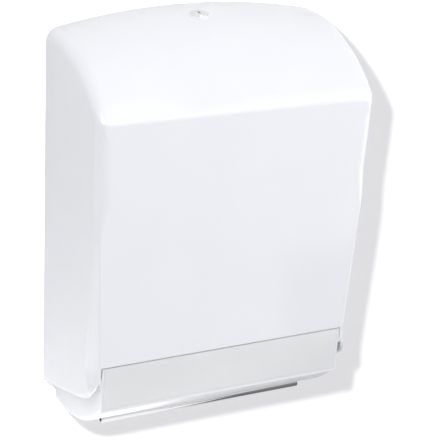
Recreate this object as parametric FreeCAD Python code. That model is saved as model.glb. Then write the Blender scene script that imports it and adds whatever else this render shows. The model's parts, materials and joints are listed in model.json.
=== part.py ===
import FreeCAD, Part
import math
import os

# Wall dispenser for folded paper towels, millimetres.
# Frame: origin at the centre of the wall screw pattern, on the wall face.
# +X to the right of someone facing the dispenser, +Y into the wall, +Z up.
# "Depth" is a distance out from the wall, so a depth d lies at Y = -d.

# ---------------------------------------------------------------- overall form
CASE_HALF_WIDTH = 145.0        # hood, at the wall
SIDE_DRAFT = 3.0 / 137.0       # inward lean of the hood's sides, per mm of depth
CROWN_RADIUS = 165.0           # hood top, seen from the side, level at the wall
CROWN_CENTRE_Z = 44.0
HOOD_WALL = 2.6
FRONT_DEPTH = 126.0            # hood face at its lower edge
FRONT_LEAN = 11.0 / 248.0      # the face comes forward as it rises
HOOD_FRONT_EDGE_Z = -110.0     # lower edge of the hood's face
HOOD_BACK_EDGE_Z = -183.0      # lower edge of the hood's sides, at the wall
RIM_TURN_DEPTH = FRONT_DEPTH - 48.0    # where the side's lower edge starts to sweep up
RIM_TURN_Z = -160.5
RIM_SWEEP_DEPTH = FRONT_DEPTH - 14.0   # a point on that sweep
RIM_SWEEP_Z = -143.0
ARCH_SPAN = 120.0              # half span over which the top's arch is measured
ARCH_DROP_WALL = 11.0
ARCH_DROP_FRONT = 3.6
SHOULDER_RADIUS_WALL = 14.0
SHOULDER_RADIUS_FRONT = 20.0
CREASE_RADIUS = 3.0
BEVEL_TOP_Z = 100.0            # the corner bevel starts here and widens downward
BEVEL_DEPTH = 18.0             # its size along the side, at the face's lower edge
BEVEL_WIDTH = 7.6              # its size across the face, at the same height

# ---------------------------------------------------------------- lower body
BODY_HALF_WIDTH = CASE_HALF_WIDTH - 14.0
BODY_WALL = 2.6
BODY_BOTTOM_Z = -206.0
BODY_TOP_Z = -98.0
BODY_FLAT_DEPTH = 15.0         # the underside is level out to this depth, then sweeps up
BODY_EDGE_RADIUS = 4.0
FRAME_THICK = 3.0              # window frame, along Y
FRAME_BOTTOM_Z = -161.0
FRAME_TOP_Z = -112.0
FRAME_STILE = 2.2              # visible width of the frame beside the window
FRAME_RAIL = 3.6               # visible height of its bottom rail
FRAME_HEAD = 1.2               # and of its top rail
FRAME_RECESS = 0.5             # frame's face behind the hood's face
LEDGE = 4.0                    # ledge of the frame behind the window's edge
WINDOW_THICK = 1.8
FIT = 0.2                      # clearance of a part dropped into its seat

# ---------------------------------------------------------------- outlet
OUTLET_HALF_WIDTH = BODY_HALF_WIDTH - 18.0
OUTLET_BACK_DEPTH = 34.0
OUTLET_FRONT_DEPTH = FRONT_DEPTH - 42.0
LIP_HALF_WIDTH = OUTLET_HALF_WIDTH - 1.0
LIP_RUN = 10.0                 # from the outlet's front edge back to the rolled edge's centre
LIP_RADIUS = 4.2
LIP_SHEET = 1.2
LIP_OVERLAP = 14.0             # of the lip's flange on the floor in front of the outlet
RIVET_RADIUS = 1.6
RIVET_HEAD_RADIUS = 3.4
RIVET_MARGIN = 22.0            # from the lip's ends to the outer rivets
RIVET_INSET = 7.0              # from the outlet's front edge, up the flange

# ---------------------------------------------------------------- back plate
PLATE_HALF_WIDTH = BODY_HALF_WIDTH - 2.0
PLATE_THICK = 3.0
PLATE_BOTTOM_Z = -202.6
PLATE_SHOULDER_Z = 186.0
PLATE_TOP_Z = 199.0
PLATE_CORNER = 12.0
MOUNT_X = 180.0                # wall screw pattern
MOUNT_Z = 260.0
MOUNT_HOLE_RADIUS = 2.75
MOUNT_BOSS_RADIUS = 9.0
MOUNT_BOSS_RISE = 2.0
RIB_X = 40.0
RIB_WIDTH = 3.0
RIB_RISE = 5.0
RIB_LENGTH = 220.0

# ---------------------------------------------------------------- towel guides
GUIDE_OUTER = PLATE_HALF_WIDTH - 1.0
GUIDE_SHEET = 2.0
GUIDE_DEPTH = FRONT_DEPTH - 13.0
GUIDE_RETURN = 16.0
GUIDE_FOOT = 18.0
GUIDE_TOP_Z = 150.0
GUIDE_CLEAR = 0.3

# ---------------------------------------------------------------- hinge
HINGE_DEPTH = FRONT_DEPTH - 8.0
HINGE_Z = -124.0
PIN_RADIUS = 2.5
PIN_REACH = BODY_HALF_WIDTH + 3.7      # outer end of the pin, from the middle
PIN_HEAD_RADIUS = 4.0
PIN_HEAD_THICK = 1.2
PIN_CLEAR = 0.05
BUSH_WALL = 1.0
EAR_RADIUS = 6.5
EAR_GAP = 0.4
BOSS_LENGTH = 4.0              # lower body's boss inside its side wall

# ---------------------------------------------------------------- lock
LOCK_DEPTH = 33.0
LOCK_TILT = 5.0                # degrees forward
LOCK_FACE_RADIUS = 9.0
LOCK_FACE_THICK = 1.2
LOCK_BARREL_RADIUS = 7.0
LOCK_BARREL_LENGTH = 19.0
LOCK_BOSS_RADIUS = 10.5
LOCK_BOSS_RISE = 0.8
LOCK_BOSS_DROP = 5.0
PLUG_RADIUS = 5.0
PLUG_TAIL = 5.4                # tail below the barrel, through the cam
KEYWAY_WIDTH = 2.2
KEYWAY_LENGTH = 6.4
KEYWAY_DEPTH = 8.0
NUT_ACROSS = 19.0
NUT_HEIGHT = 5.0
WASHER_RADIUS = 10.0
WASHER_THICK = 1.0
CAM_LENGTH = 22.0
CAM_WIDTH = 9.0
CAM_THICK = 2.0
CAM_GAP = 0.3
TAIL_SQUARE = 6.0
KEEPER_GAP = 0.6               # keeper's tongue above the cam
KEEPER_SHEET = 1.8
KEEPER_HALF_WIDTH = 9.0
KEEPER_DEPTH = 20.5
KEEPER_FOOT_HEIGHT = 22.0
KEEPER_FOOT_MARGIN = 2.0       # its foot is this much wider at each side than the tongue

# ---------------------------------------------------------------- small parts
SCREW_RADIUS = 2.0
SCREW_CLEAR = 0.1
SCREW_HEAD_RADIUS = 4.0
SCREW_HEAD_THICK = 1.8
SCREW_DEPTH = 2.2              # thread into the plate
BUFFER_X = 80.0
BUFFER_WIDTH = 16.0
BUFFER_DEPTH = 10.0
BUFFER_HEIGHT = 14.0
BUFFER_GAP = 0.4
BUFFER_ROUND = 2.0
CLIP_WIDTH = 10.0
CLIP_HEIGHT = 5.0
CLIP_THICK = 2.0
BEYOND = 40.0                  # how far a cutting body runs past what it cuts
MARGIN = 1.0                   # the same, where something else is near

V = FreeCAD.Vector
X_AXIS = V(1, 0, 0)
Y_AXIS = V(0, 1, 0)
Z_AXIS = V(0, 0, 1)


# ---------------------------------------------------------------- helpers
def box(x0, x1, y0, y1, z0, z1):
    return Part.makeBox(x1 - x0, y1 - y0, z1 - z0, V(x0, y0, z0))


def rod(radius, start, direction, length):
    return Part.makeCylinder(radius, length, start, direction)


def side_prism(edges, half_width):
    """Solid between x = -half_width and +half_width from edges in the YZ plane."""
    face = Part.Face(Part.Wire(edges))
    face.translate(V(-half_width, 0, 0))
    return face.extrude(V(2 * half_width, 0, 0))


def yz(depth, z):
    return V(0, -depth, z)


def line(a, b):
    return Part.LineSegment(a, b).toShape()


def arc(a, middle, b):
    return Part.Arc(a, middle, b).toShape()


def path(points):
    return [line(a, b) for a, b in zip(points, points[1:])]


def mirrored(shape):
    return shape.mirror(V(0, 0, 0), X_AXIS)


def both_sides(shape):
    return Part.makeCompound([shape, mirrored(shape)])


def edges_where(shape, test):
    return [edge for edge in shape.Edges if test(edge.BoundBox)]


def front_depth(z, inset=0.0):
    """Depth of the hood's leaning face at height z."""
    return FRONT_DEPTH + FRONT_LEAN * (z - HOOD_FRONT_EDGE_Z) - inset


# ---------------------------------------------------------------- hood
def crown_z(depth, inset=0.0):
    radius = CROWN_RADIUS - inset
    return CROWN_CENTRE_Z + math.sqrt(radius * radius - depth * depth)


def blend_along(depth, at_wall, at_front):
    return at_wall + (at_front - at_wall) * depth / FRONT_DEPTH


def arch_radius(depth):
    return ARCH_SPAN ** 2 / (2 * blend_along(depth, ARCH_DROP_WALL, ARCH_DROP_FRONT))


def crown_section(depth, inset):
    """Closed outline of the hood in a plane parallel to the wall."""
    half = CASE_HALF_WIDTH - SIDE_DRAFT * depth - inset
    top = crown_z(depth, inset)
    arch = arch_radius(depth)
    shoulder = blend_along(depth, SHOULDER_RADIUS_WALL, SHOULDER_RADIUS_FRONT) - inset
    arch_centre = top - arch
    reach = half - shoulder
    rise = math.sqrt((arch - shoulder) ** 2 - reach ** 2)
    shoulder_z = arch_centre + rise
    tilt = math.atan2(rise, reach)
    half_tilt = tilt / 2
    bottom = BODY_BOTTOM_Z

    def at(x, z):
        return V(x, -depth, z)

    def on_shoulder(side, angle):
        return at(side * (reach + shoulder * math.cos(angle)),
                  shoulder_z + shoulder * math.sin(angle))

    edges = [
        line(at(-half, bottom), at(-half, shoulder_z)),
        arc(at(-half, shoulder_z), on_shoulder(-1, half_tilt), on_shoulder(-1, tilt)),
        arc(on_shoulder(-1, tilt), at(0, top), on_shoulder(1, tilt)),
        arc(on_shoulder(1, tilt), on_shoulder(1, half_tilt), at(half, shoulder_z)),
        line(at(half, shoulder_z), at(half, bottom)),
        line(at(half, bottom), at(-half, bottom)),
    ]
    return Part.Wire(edges)


def bevel_cutter(inset):
    """Everything outside the plane that bevels the left front corner."""
    side = CASE_HALF_WIDTH - SIDE_DRAFT * FRONT_DEPTH
    top = V(-side, -front_depth(BEVEL_TOP_Z), BEVEL_TOP_Z)
    on_side = V(-side, BEVEL_DEPTH - FRONT_DEPTH, HOOD_FRONT_EDGE_Z)
    on_face = V(BEVEL_WIDTH - side, -FRONT_DEPTH, HOOD_FRONT_EDGE_Z)
    inward = (on_side - top).cross(on_face - top)
    inward.normalize()
    if inward.y < 0:
        inward = inward * -1
    size = 3 * CASE_HALF_WIDTH
    slab = Part.makeBox(size, size, size, V(-size / 2, -size / 2, -size))
    slab.Placement = FreeCAD.Placement(top + inward * inset,
                                       FreeCAD.Rotation(Z_AXIS, inward))
    return slab


def hood_form(inset):
    """The hood as a full solid, its skin set in by inset."""
    back = 0.0 if inset == 0 else -HOOD_WALL
    reach = front_depth(CROWN_CENTRE_Z + CROWN_RADIUS) + 1
    stations = 8
    depths = [back + (reach - back) * i / (stations - 1) for i in range(stations)]
    crown = Part.makeLoft([crown_section(depth, inset) for depth in depths], True, False)
    top = crown_z(0) + BEYOND
    bottom = BODY_BOTTOM_Z - BEYOND
    side = side_prism(path([yz(-BEYOND, bottom), yz(front_depth(bottom, inset), bottom),
                            yz(front_depth(top, inset), top), yz(-BEYOND, top),
                            yz(-BEYOND, bottom)]), CASE_HALF_WIDTH + BEYOND)
    form = crown.common(side)
    cutter = bevel_cutter(inset)
    form = form.cut(cutter)
    return form.cut(mirrored(cutter))


def below_rim():
    """Everything below the hood's lower edge."""
    low = BODY_BOTTOM_Z - BEYOND
    back = yz(-BEYOND, HOOD_BACK_EDGE_Z)
    wall = yz(0, HOOD_BACK_EDGE_Z)
    turn = yz(RIM_TURN_DEPTH, RIM_TURN_Z)
    sweep = yz(RIM_SWEEP_DEPTH, RIM_SWEEP_Z)
    face = yz(FRONT_DEPTH + 1, HOOD_FRONT_EDGE_Z)
    front = yz(FRONT_DEPTH + BEYOND, HOOD_FRONT_EDGE_Z)
    edges = [line(back, wall), line(wall, turn), arc(turn, sweep, face), line(face, front)]
    edges += path([front, yz(FRONT_DEPTH + BEYOND, low), yz(-BEYOND, low), back])
    return side_prism(edges, CASE_HALF_WIDTH + BEYOND)


def in_lock_frame(shape):
    """From the lock's own frame, axis +Z and seat at z = 0, to its place."""
    shape.rotate(V(0, 0, 0), X_AXIS, LOCK_TILT)
    shape.translate(V(0, -LOCK_DEPTH, crown_z(LOCK_DEPTH) + LOCK_BOSS_RISE))
    return shape


def make_hood():
    outer = hood_form(0)
    inner = hood_form(HOOD_WALL)
    crease = edges_where(outer, lambda b: b.XLength > CASE_HALF_WIDTH
                         and b.YMax < -FRONT_DEPTH and b.ZMin > 0)
    outer = outer.makeFillet(CREASE_RADIUS, crease)
    mouth = BODY_HALF_WIDTH + EAR_GAP
    front_mouth = box(-mouth, mouth, -FRONT_DEPTH - BEYOND, BEYOND, BODY_BOTTOM_Z - BEYOND,
                      HOOD_FRONT_EDGE_Z)
    hood = outer.cut(inner).cut(below_rim()).cut(front_mouth)
    boss = in_lock_frame(rod(LOCK_BOSS_RADIUS, V(0, 0, -LOCK_BOSS_DROP), Z_AXIS, LOCK_BOSS_DROP))
    hood = hood.fuse(boss)
    bore = in_lock_frame(rod(LOCK_BARREL_RADIUS + PIN_CLEAR, V(0, 0, -BEYOND), Z_AXIS, 2 * BEYOND))
    hood = hood.cut(bore)
    ear = rod(EAR_RADIUS, V(mouth, -HINGE_DEPTH, HINGE_Z), X_AXIS, BEYOND).common(outer)
    hole = rod(PIN_RADIUS + PIN_CLEAR + BUSH_WALL, V(mouth - 1, -HINGE_DEPTH, HINGE_Z), X_AXIS,
               PIN_REACH + PIN_CLEAR - mouth + 1)
    hood = hood.fuse([ear, mirrored(ear)])
    return hood.cut([hole, mirrored(hole)]).removeSplitter()


# ---------------------------------------------------------------- lower body
def body_front(z):
    """Depth of the lower body's front edge, which the window frame covers."""
    return front_depth(z) - FRAME_RECESS - FRAME_THICK


def sweep_radius():
    """Radius of the underside's sweep, level at its start and ending at the window frame."""
    run = body_front(FRAME_BOTTOM_Z) - BODY_FLAT_DEPTH
    rise = FRAME_BOTTOM_Z - BODY_BOTTOM_Z
    return (run * run + rise * rise) / (2 * rise)


def floor_z(depth, inset=0.0):
    """Height of the underside at a depth; the floor's upper face with inset = BODY_WALL."""
    run = max(depth - BODY_FLAT_DEPTH, 0.0)
    radius = sweep_radius()
    return BODY_BOTTOM_Z + radius - math.sqrt((radius - inset) ** 2 - run ** 2)


def floor_point(depth, inset):
    return yz(depth, floor_z(depth, inset))


def body_form(half_width, inset):
    """Lower body as a solid; with an inset, the room inside it, open at the top."""
    wall = floor_point(0, inset)
    flat = floor_point(BODY_FLAT_DEPTH, inset)
    end_depth = body_front(FRAME_BOTTOM_Z) - inset
    middle = floor_point((BODY_FLAT_DEPTH + end_depth) / 2, inset)
    end = floor_point(end_depth, inset)
    head_depth = body_front(FRAME_TOP_Z) - inset
    if inset:
        top = FRAME_TOP_Z + BEYOND
        upper = [yz(head_depth, top), yz(0, top)]
    else:
        shoulder_depth = HINGE_DEPTH - (BODY_TOP_Z - FRAME_TOP_Z) / 2
        upper = [yz(head_depth, FRAME_TOP_Z), yz(shoulder_depth, BODY_TOP_Z), yz(0, BODY_TOP_Z)]
    edges = [line(wall, flat), arc(flat, middle, end)] + path([end] + upper + [wall])
    return side_prism(edges, half_width)


def make_lower_body():
    outer = body_form(BODY_HALF_WIDTH, 0)
    low_edges = edges_where(outer, lambda b: b.XLength < 1 and b.ZMax < FRAME_BOTTOM_Z + 1)
    outer = outer.makeFillet(BODY_EDGE_RADIUS, low_edges)
    inside = BODY_HALF_WIDTH - BODY_WALL
    cavity = body_form(inside, BODY_WALL)
    behind = PLATE_THICK + BODY_WALL
    cavity = cavity.cut(box(-inside - 1, inside + 1, -behind, 1, BODY_BOTTOM_Z - 1, 0))
    body = outer.cut(cavity)
    body = body.cut(box(-PLATE_HALF_WIDTH - FIT, PLATE_HALF_WIDTH + FIT, -PLATE_THICK, 1,
                        PLATE_BOTTOM_Z - FIT, 0))
    window_hole = box(-window_half() + LEDGE, window_half() - LEDGE, -FRONT_DEPTH - BEYOND,
                      -FRONT_DEPTH + BEYOND / 2, window_bottom() + LEDGE, window_top() - LEDGE)
    body = body.cut(window_hole)
    slot = box(-OUTLET_HALF_WIDTH, OUTLET_HALF_WIDTH, -OUTLET_FRONT_DEPTH, -OUTLET_BACK_DEPTH,
               BODY_BOTTOM_Z - 1, FRAME_BOTTOM_Z)
    body = body.cut(slot)
    boss = rod(EAR_RADIUS, V(BODY_HALF_WIDTH - BODY_WALL - BOSS_LENGTH, -HINGE_DEPTH, HINGE_Z),
               X_AXIS, BOSS_LENGTH + BODY_WALL / 2)
    ahead = box(-BODY_HALF_WIDTH, BODY_HALF_WIDTH, -FRONT_DEPTH - BEYOND,
                -body_front(HINGE_Z - EAR_RADIUS), HINGE_Z - BEYOND, HINGE_Z + BEYOND)
    boss = boss.cut(ahead)
    body = body.fuse([boss, mirrored(boss)])
    hole = rod(PIN_RADIUS, V(0, -HINGE_DEPTH, HINGE_Z), X_AXIS, CASE_HALF_WIDTH)
    body = body.cut([hole, mirrored(hole)])
    body = body.cut([screw_shank(x, z, behind) for x, z in body_screw_places()])
    access = MOUNT_BOSS_RADIUS + FIT
    body = body.cut([rod(access, V(x, 0, z), V(0, -1, 0), behind + 1) for x, z in mount_places()])
    return body.cut([rivet_shank(x) for x in rivet_places()]).removeSplitter()


# ---------------------------------------------------------------- window
def window_half():
    return BODY_HALF_WIDTH - FRAME_STILE


def window_bottom():
    return FRAME_BOTTOM_Z + FRAME_RAIL


def window_top():
    return FRAME_TOP_Z - FRAME_HEAD


def leaning_slab(half_width, z0, z1, back, thick):
    """Slab parallel to the hood's face; back is the depth of its rear behind that face."""
    lower = front_depth(z0) - back
    upper = front_depth(z1) - back
    return side_prism(path([yz(lower, z0), yz(lower + thick, z0), yz(upper + thick, z1),
                            yz(upper, z1), yz(lower, z0)]), half_width)


def make_window_frame():
    back = FRAME_RECESS + FRAME_THICK
    frame = leaning_slab(BODY_HALF_WIDTH, FRAME_BOTTOM_Z, FRAME_TOP_Z, back, FRAME_THICK)
    outside = edges_where(frame, lambda b: b.YMin < -front_depth(b.ZMin) + FRAME_RECESS + 0.1
                          and (b.XLength < 1 or b.ZMax < FRAME_BOTTOM_Z + 1)
                          and b.YLength < FRAME_THICK - 0.5)
    frame = frame.makeFillet(FRAME_STILE * 0.6, outside)
    sight = leaning_slab(window_half() - LEDGE, window_bottom() + LEDGE, window_top() - LEDGE,
                         back + MARGIN, FRAME_THICK + 2 * MARGIN)
    seat = leaning_slab(window_half(), window_bottom(), window_top(),
                        FRAME_RECESS + WINDOW_THICK + FIT, FRAME_THICK)
    return frame.cut(sight).cut(seat)


def make_sight_window():
    return leaning_slab(window_half() - FIT, window_bottom() + FIT, window_top() - FIT,
                        FRAME_RECESS + WINDOW_THICK + FIT, WINDOW_THICK)


def make_window_clips():
    """Moulded clips that hold the frame to the body from inside."""
    clips = []
    for x in (-2, -1, 1, 2):
        centre = x * window_half() / 3
        z = window_bottom() + LEDGE + FIT
        depth = body_front(z - CLIP_HEIGHT) - BODY_WALL - FIT
        clips.append(box(centre - CLIP_WIDTH / 2, centre + CLIP_WIDTH / 2,
                         -depth, -depth + CLIP_THICK, z - CLIP_HEIGHT, z))
    return Part.makeCompound(clips)


# ---------------------------------------------------------------- outlet lip
def lip_directions():
    """Unit vectors up the flange and square to it, from the floor that it lies on."""
    start = floor_point(OUTLET_FRONT_DEPTH, BODY_WALL)
    along = floor_point(OUTLET_FRONT_DEPTH + LIP_OVERLAP, BODY_WALL) - start
    along.normalize()
    return along, V(0, along.z, -along.y)


def lip_seat(x, distance, lift=0.0):
    """Point on the flange's lower face, a distance up it from the outlet's front edge."""
    along, out = lip_directions()
    start = floor_point(OUTLET_FRONT_DEPTH, BODY_WALL)
    return V(x, start.y, start.z) + out * (FIT + lift) + along * distance


def rivet_places():
    outer = LIP_HALF_WIDTH - RIVET_MARGIN
    return [-outer, 0.0, outer]


def rivet_shank(x):
    out = lip_directions()[1]
    length = BODY_WALL + LIP_SHEET + 2 * FIT
    return rod(RIVET_RADIUS, lip_seat(x, RIVET_INSET, LIP_SHEET - length), out, length)


def make_outlet_lip():
    along, out = lip_directions()
    length = 2 * LIP_HALF_WIDTH
    start = lip_seat(-LIP_HALF_WIDTH, -LIP_RUN)
    centre = start + out * (LIP_SHEET - LIP_RADIUS)
    roll = rod(LIP_RADIUS, centre, X_AXIS, length)
    hollow = rod(LIP_RADIUS - LIP_SHEET, centre, X_AXIS, length)
    up = out * LIP_SHEET
    run = along * (LIP_RUN + LIP_OVERLAP)
    corners = [start, start + up, start + up + run, start + run, start]
    flange = Part.Face(Part.Wire(path(corners))).extrude(V(length, 0, 0))
    lip = roll.cut(hollow).fuse(flange).removeSplitter()
    return lip.cut([rivet_shank(x) for x in rivet_places()])


def make_lip_rivets():
    out = lip_directions()[1]
    rivets = []
    for x in rivet_places():
        head = rod(RIVET_HEAD_RADIUS, lip_seat(x, RIVET_INSET, LIP_SHEET), out, RIVET_RADIUS)
        rivets.append(rivet_shank(x).fuse(head).removeSplitter())
    return Part.makeCompound(rivets)


# ---------------------------------------------------------------- back plate and guides
def screw_shank(x, z, seat_depth, radius=SCREW_RADIUS):
    """Shank of a screw into the back plate; its head bears at seat_depth."""
    start = PLATE_THICK - SCREW_DEPTH
    return rod(radius, V(x, -start, z), V(0, -1, 0), seat_depth - start)


def screws(places, seat_depth):
    group = []
    for x, z in places:
        head = rod(SCREW_HEAD_RADIUS, V(x, -seat_depth, z), V(0, -1, 0), SCREW_HEAD_THICK)
        group.append(screw_shank(x, z, seat_depth).fuse(head).removeSplitter())
    return Part.makeCompound(group)


def guide_screw_places():
    x = GUIDE_OUTER - GUIDE_FOOT / 2
    return [(side * x, level) for side in (-1, 1) for level in (BODY_TOP_Z / 2, GUIDE_TOP_Z / 2)]


def body_screw_places():
    return [(side * MOUNT_X / 2, level) for side in (-1, 1)
            for level in (BODY_TOP_Z - 4 * SCREW_HEAD_RADIUS, PLATE_BOTTOM_Z + 4 * SCREW_HEAD_RADIUS)]


def keeper_screw_places():
    z = keeper_foot_bottom() + SCREW_HEAD_RADIUS + 1
    return [(side * KEEPER_HALF_WIDTH * 0.6, z) for side in (-1, 1)]


def mount_places():
    return [(sx * MOUNT_X / 2, sz * MOUNT_Z / 2) for sx in (-1, 1) for sz in (-1, 1)]


def make_back_plate():
    side = PLATE_HALF_WIDTH
    corners = [V(-side, 0, PLATE_BOTTOM_Z), V(-side, 0, PLATE_SHOULDER_Z),
               V(0, 0, PLATE_TOP_Z), V(side, 0, PLATE_SHOULDER_Z), V(side, 0, PLATE_BOTTOM_Z)]
    edges = [line(corners[0], corners[1]), arc(corners[1], corners[2], corners[3]),
             line(corners[3], corners[4]), line(corners[4], corners[0])]
    plate = Part.Face(Part.Wire(edges)).extrude(V(0, -PLATE_THICK, 0))
    top_corners = edges_where(plate, lambda b: b.XLength < 1 and b.ZLength < 1
                              and abs(b.ZMax - PLATE_SHOULDER_Z) < 1)
    plate = plate.makeFillet(PLATE_CORNER, top_corners)
    raised = []
    for x, z in mount_places():
        raised.append(rod(MOUNT_BOSS_RADIUS, V(x, 0, z), V(0, -1, 0), PLATE_THICK + MOUNT_BOSS_RISE))
    for x in (-RIB_X, RIB_X):
        raised.append(box(x - RIB_WIDTH / 2, x + RIB_WIDTH / 2, -PLATE_THICK - RIB_RISE,
                          -PLATE_THICK / 2, BODY_TOP_Z + RIB_RISE, BODY_TOP_Z + RIB_RISE + RIB_LENGTH))
    plate = plate.fuse(raised)
    holes = [rod(MOUNT_HOLE_RADIUS, V(x, 1, z), V(0, -1, 0), BEYOND) for x, z in mount_places()]
    threads = guide_screw_places() + body_screw_places() + keeper_screw_places()
    holes += [screw_shank(x, z, PLATE_THICK + 1) for x, z in threads]
    return plate.cut(holes).removeSplitter()


def make_towel_guide():
    """Right-hand guide: foot on the plate, side wall and front return."""
    low = BODY_TOP_Z + GUIDE_CLEAR
    wall = box(GUIDE_OUTER - GUIDE_SHEET, GUIDE_OUTER, -GUIDE_DEPTH, -PLATE_THICK, low, GUIDE_TOP_Z)
    foot = box(GUIDE_OUTER - GUIDE_FOOT, GUIDE_OUTER, -PLATE_THICK - GUIDE_SHEET, -PLATE_THICK,
               low, GUIDE_TOP_Z)
    lip = box(GUIDE_OUTER - GUIDE_RETURN, GUIDE_OUTER, -GUIDE_DEPTH, -GUIDE_DEPTH + GUIDE_SHEET,
              low, GUIDE_TOP_Z)
    guide = wall.fuse([foot, lip]).removeSplitter()
    seat = PLATE_THICK + GUIDE_SHEET
    return guide.cut([screw_shank(x, z, seat) for x, z in guide_screw_places()])


# ---------------------------------------------------------------- hinge
def make_hinge_pin():
    inner = BODY_HALF_WIDTH - BODY_WALL - BOSS_LENGTH
    pin = rod(PIN_RADIUS, V(inner, -HINGE_DEPTH, HINGE_Z), X_AXIS, PIN_REACH - inner)
    head = rod(PIN_HEAD_RADIUS, V(inner - PIN_HEAD_THICK, -HINGE_DEPTH, HINGE_Z), X_AXIS, PIN_HEAD_THICK)
    return pin.fuse(head).removeSplitter()


def make_hinge_bush():
    start = BODY_HALF_WIDTH + EAR_GAP
    length = PIN_REACH - start
    bore = PIN_RADIUS + PIN_CLEAR
    sleeve = rod(bore + BUSH_WALL, V(start, -HINGE_DEPTH, HINGE_Z), X_AXIS, length)
    return sleeve.cut(rod(bore, V(start - 1, -HINGE_DEPTH, HINGE_Z), X_AXIS, length + 2))


# ---------------------------------------------------------------- lock
def make_lock_housing():
    face = rod(LOCK_FACE_RADIUS, V(0, 0, 0), Z_AXIS, LOCK_FACE_THICK)
    face = face.makeChamfer(LOCK_FACE_THICK / 2, edges_where(face, lambda b: b.ZMin > LOCK_FACE_THICK / 2))
    barrel = rod(LOCK_BARREL_RADIUS, V(0, 0, -LOCK_BARREL_LENGTH), Z_AXIS, LOCK_BARREL_LENGTH)
    bore = rod(PLUG_RADIUS + PIN_CLEAR, V(0, 0, -BEYOND), Z_AXIS, 2 * BEYOND)
    return in_lock_frame(face.fuse(barrel).cut(bore).removeSplitter())


def nut_seat():
    return -LOCK_BOSS_DROP - WASHER_THICK


def make_lock_washer():
    ring = rod(WASHER_RADIUS, V(0, 0, nut_seat()), Z_AXIS, WASHER_THICK)
    hole = rod(LOCK_BARREL_RADIUS + PIN_CLEAR, V(0, 0, -BEYOND), Z_AXIS, BEYOND)
    return in_lock_frame(ring.cut(hole))


def make_lock_nut():
    corner = NUT_ACROSS / 2 / math.cos(math.pi / 6)
    turn = math.pi / 3
    points = [V(corner * math.cos(i * turn), corner * math.sin(i * turn), nut_seat() - NUT_HEIGHT)
              for i in range(7)]
    nut = Part.Face(Part.makePolygon(points)).extrude(V(0, 0, NUT_HEIGHT))
    hole = rod(LOCK_BARREL_RADIUS + PIN_CLEAR, V(0, 0, -BEYOND), Z_AXIS, BEYOND)
    return in_lock_frame(nut.cut(hole))


def cam_top():
    return -LOCK_BARREL_LENGTH - CAM_GAP


def make_lock_plug():
    length = LOCK_BARREL_LENGTH + LOCK_FACE_THICK + CAM_GAP / 2
    plug = rod(PLUG_RADIUS, V(0, 0, LOCK_FACE_THICK - length), Z_AXIS, length)
    half = TAIL_SQUARE / 2
    tail = box(-half, half, -half, half, cam_top() - CAM_THICK, cam_top() + CAM_GAP)
    keyway = box(-KEYWAY_LENGTH / 2, KEYWAY_LENGTH / 2, -KEYWAY_WIDTH / 2, KEYWAY_WIDTH / 2,
                 LOCK_FACE_THICK - KEYWAY_DEPTH, LOCK_FACE_THICK + 1)
    plug = plug.fuse(tail).cut(keyway)
    thread = rod(SCREW_RADIUS, V(0, 0, cam_top() - CAM_THICK - 1), Z_AXIS, PLUG_TAIL)
    return in_lock_frame(plug.cut(thread).removeSplitter())


def make_lock_cam():
    """Points to +X when the hood is free to open."""
    half = CAM_WIDTH / 2
    bottom = cam_top() - CAM_THICK
    reach = CAM_LENGTH - half
    arm = box(0, reach, -half, half, bottom, cam_top())
    ends = [rod(half + 1, V(0, 0, bottom), Z_AXIS, CAM_THICK), rod(half, V(reach, 0, bottom), Z_AXIS, CAM_THICK)]
    cam = arm.fuse(ends).removeSplitter()
    square = TAIL_SQUARE / 2
    return in_lock_frame(cam.cut(box(-square, square, -square, square, bottom - 1, cam_top() + 1)))


def make_cam_screw():
    seat = cam_top() - CAM_THICK
    head = rod(SCREW_HEAD_RADIUS, V(0, 0, seat - SCREW_HEAD_THICK), Z_AXIS, SCREW_HEAD_THICK)
    shank = rod(SCREW_RADIUS, V(0, 0, seat), Z_AXIS, PLUG_TAIL - 1.5)
    return in_lock_frame(head.fuse(shank).removeSplitter())


def tongue_point(depth):
    """Underside of the keeper's tongue, in the dispenser's frame, at a depth."""
    tilt = math.radians(LOCK_TILT)
    local_z = cam_top() + KEEPER_GAP
    run = (LOCK_DEPTH - depth + local_z * math.sin(tilt)) / math.cos(tilt)
    seat = crown_z(LOCK_DEPTH) + LOCK_BOSS_RISE
    return yz(depth, seat + run * math.sin(tilt) + local_z * math.cos(tilt))


def keeper_foot_bottom():
    return tongue_point(PLATE_THICK).z - KEEPER_FOOT_HEIGHT


def make_lock_keeper():
    near = tongue_point(PLATE_THICK)
    far = tongue_point(KEEPER_DEPTH)
    up = V(0, 0, KEEPER_SHEET)
    tongue = side_prism(path([near, near + up, far + up, far, near]), KEEPER_HALF_WIDTH)
    half = KEEPER_HALF_WIDTH + KEEPER_FOOT_MARGIN
    foot = box(-half, half, -PLATE_THICK - KEEPER_SHEET, -PLATE_THICK,
               keeper_foot_bottom(), near.z + KEEPER_SHEET)
    keeper = foot.fuse(tongue)
    seat = PLATE_THICK + KEEPER_SHEET
    return keeper.cut([screw_shank(x, z, seat) for x, z in keeper_screw_places()]).removeSplitter()


# ---------------------------------------------------------------- buffers
def make_hood_buffers():
    """Rubber pads that the closed hood comes to rest on."""
    outer_depth = PLATE_THICK + BUFFER_DEPTH
    outer_x = BUFFER_X + BUFFER_WIDTH / 2
    drop = arch_radius(0) - math.sqrt(arch_radius(0) ** 2 - outer_x ** 2)
    top = crown_z(outer_depth, HOOD_WALL) - drop - BUFFER_GAP
    pad = box(BUFFER_X - BUFFER_WIDTH / 2, outer_x, -outer_depth, -PLATE_THICK, top - BUFFER_HEIGHT, top)
    ahead = edges_where(pad, lambda b: b.ZMin > top - MARGIN and b.YMax < -PLATE_THICK - MARGIN)
    pad = pad.makeFillet(BUFFER_ROUND, ahead)
    return both_sides(pad)


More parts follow.
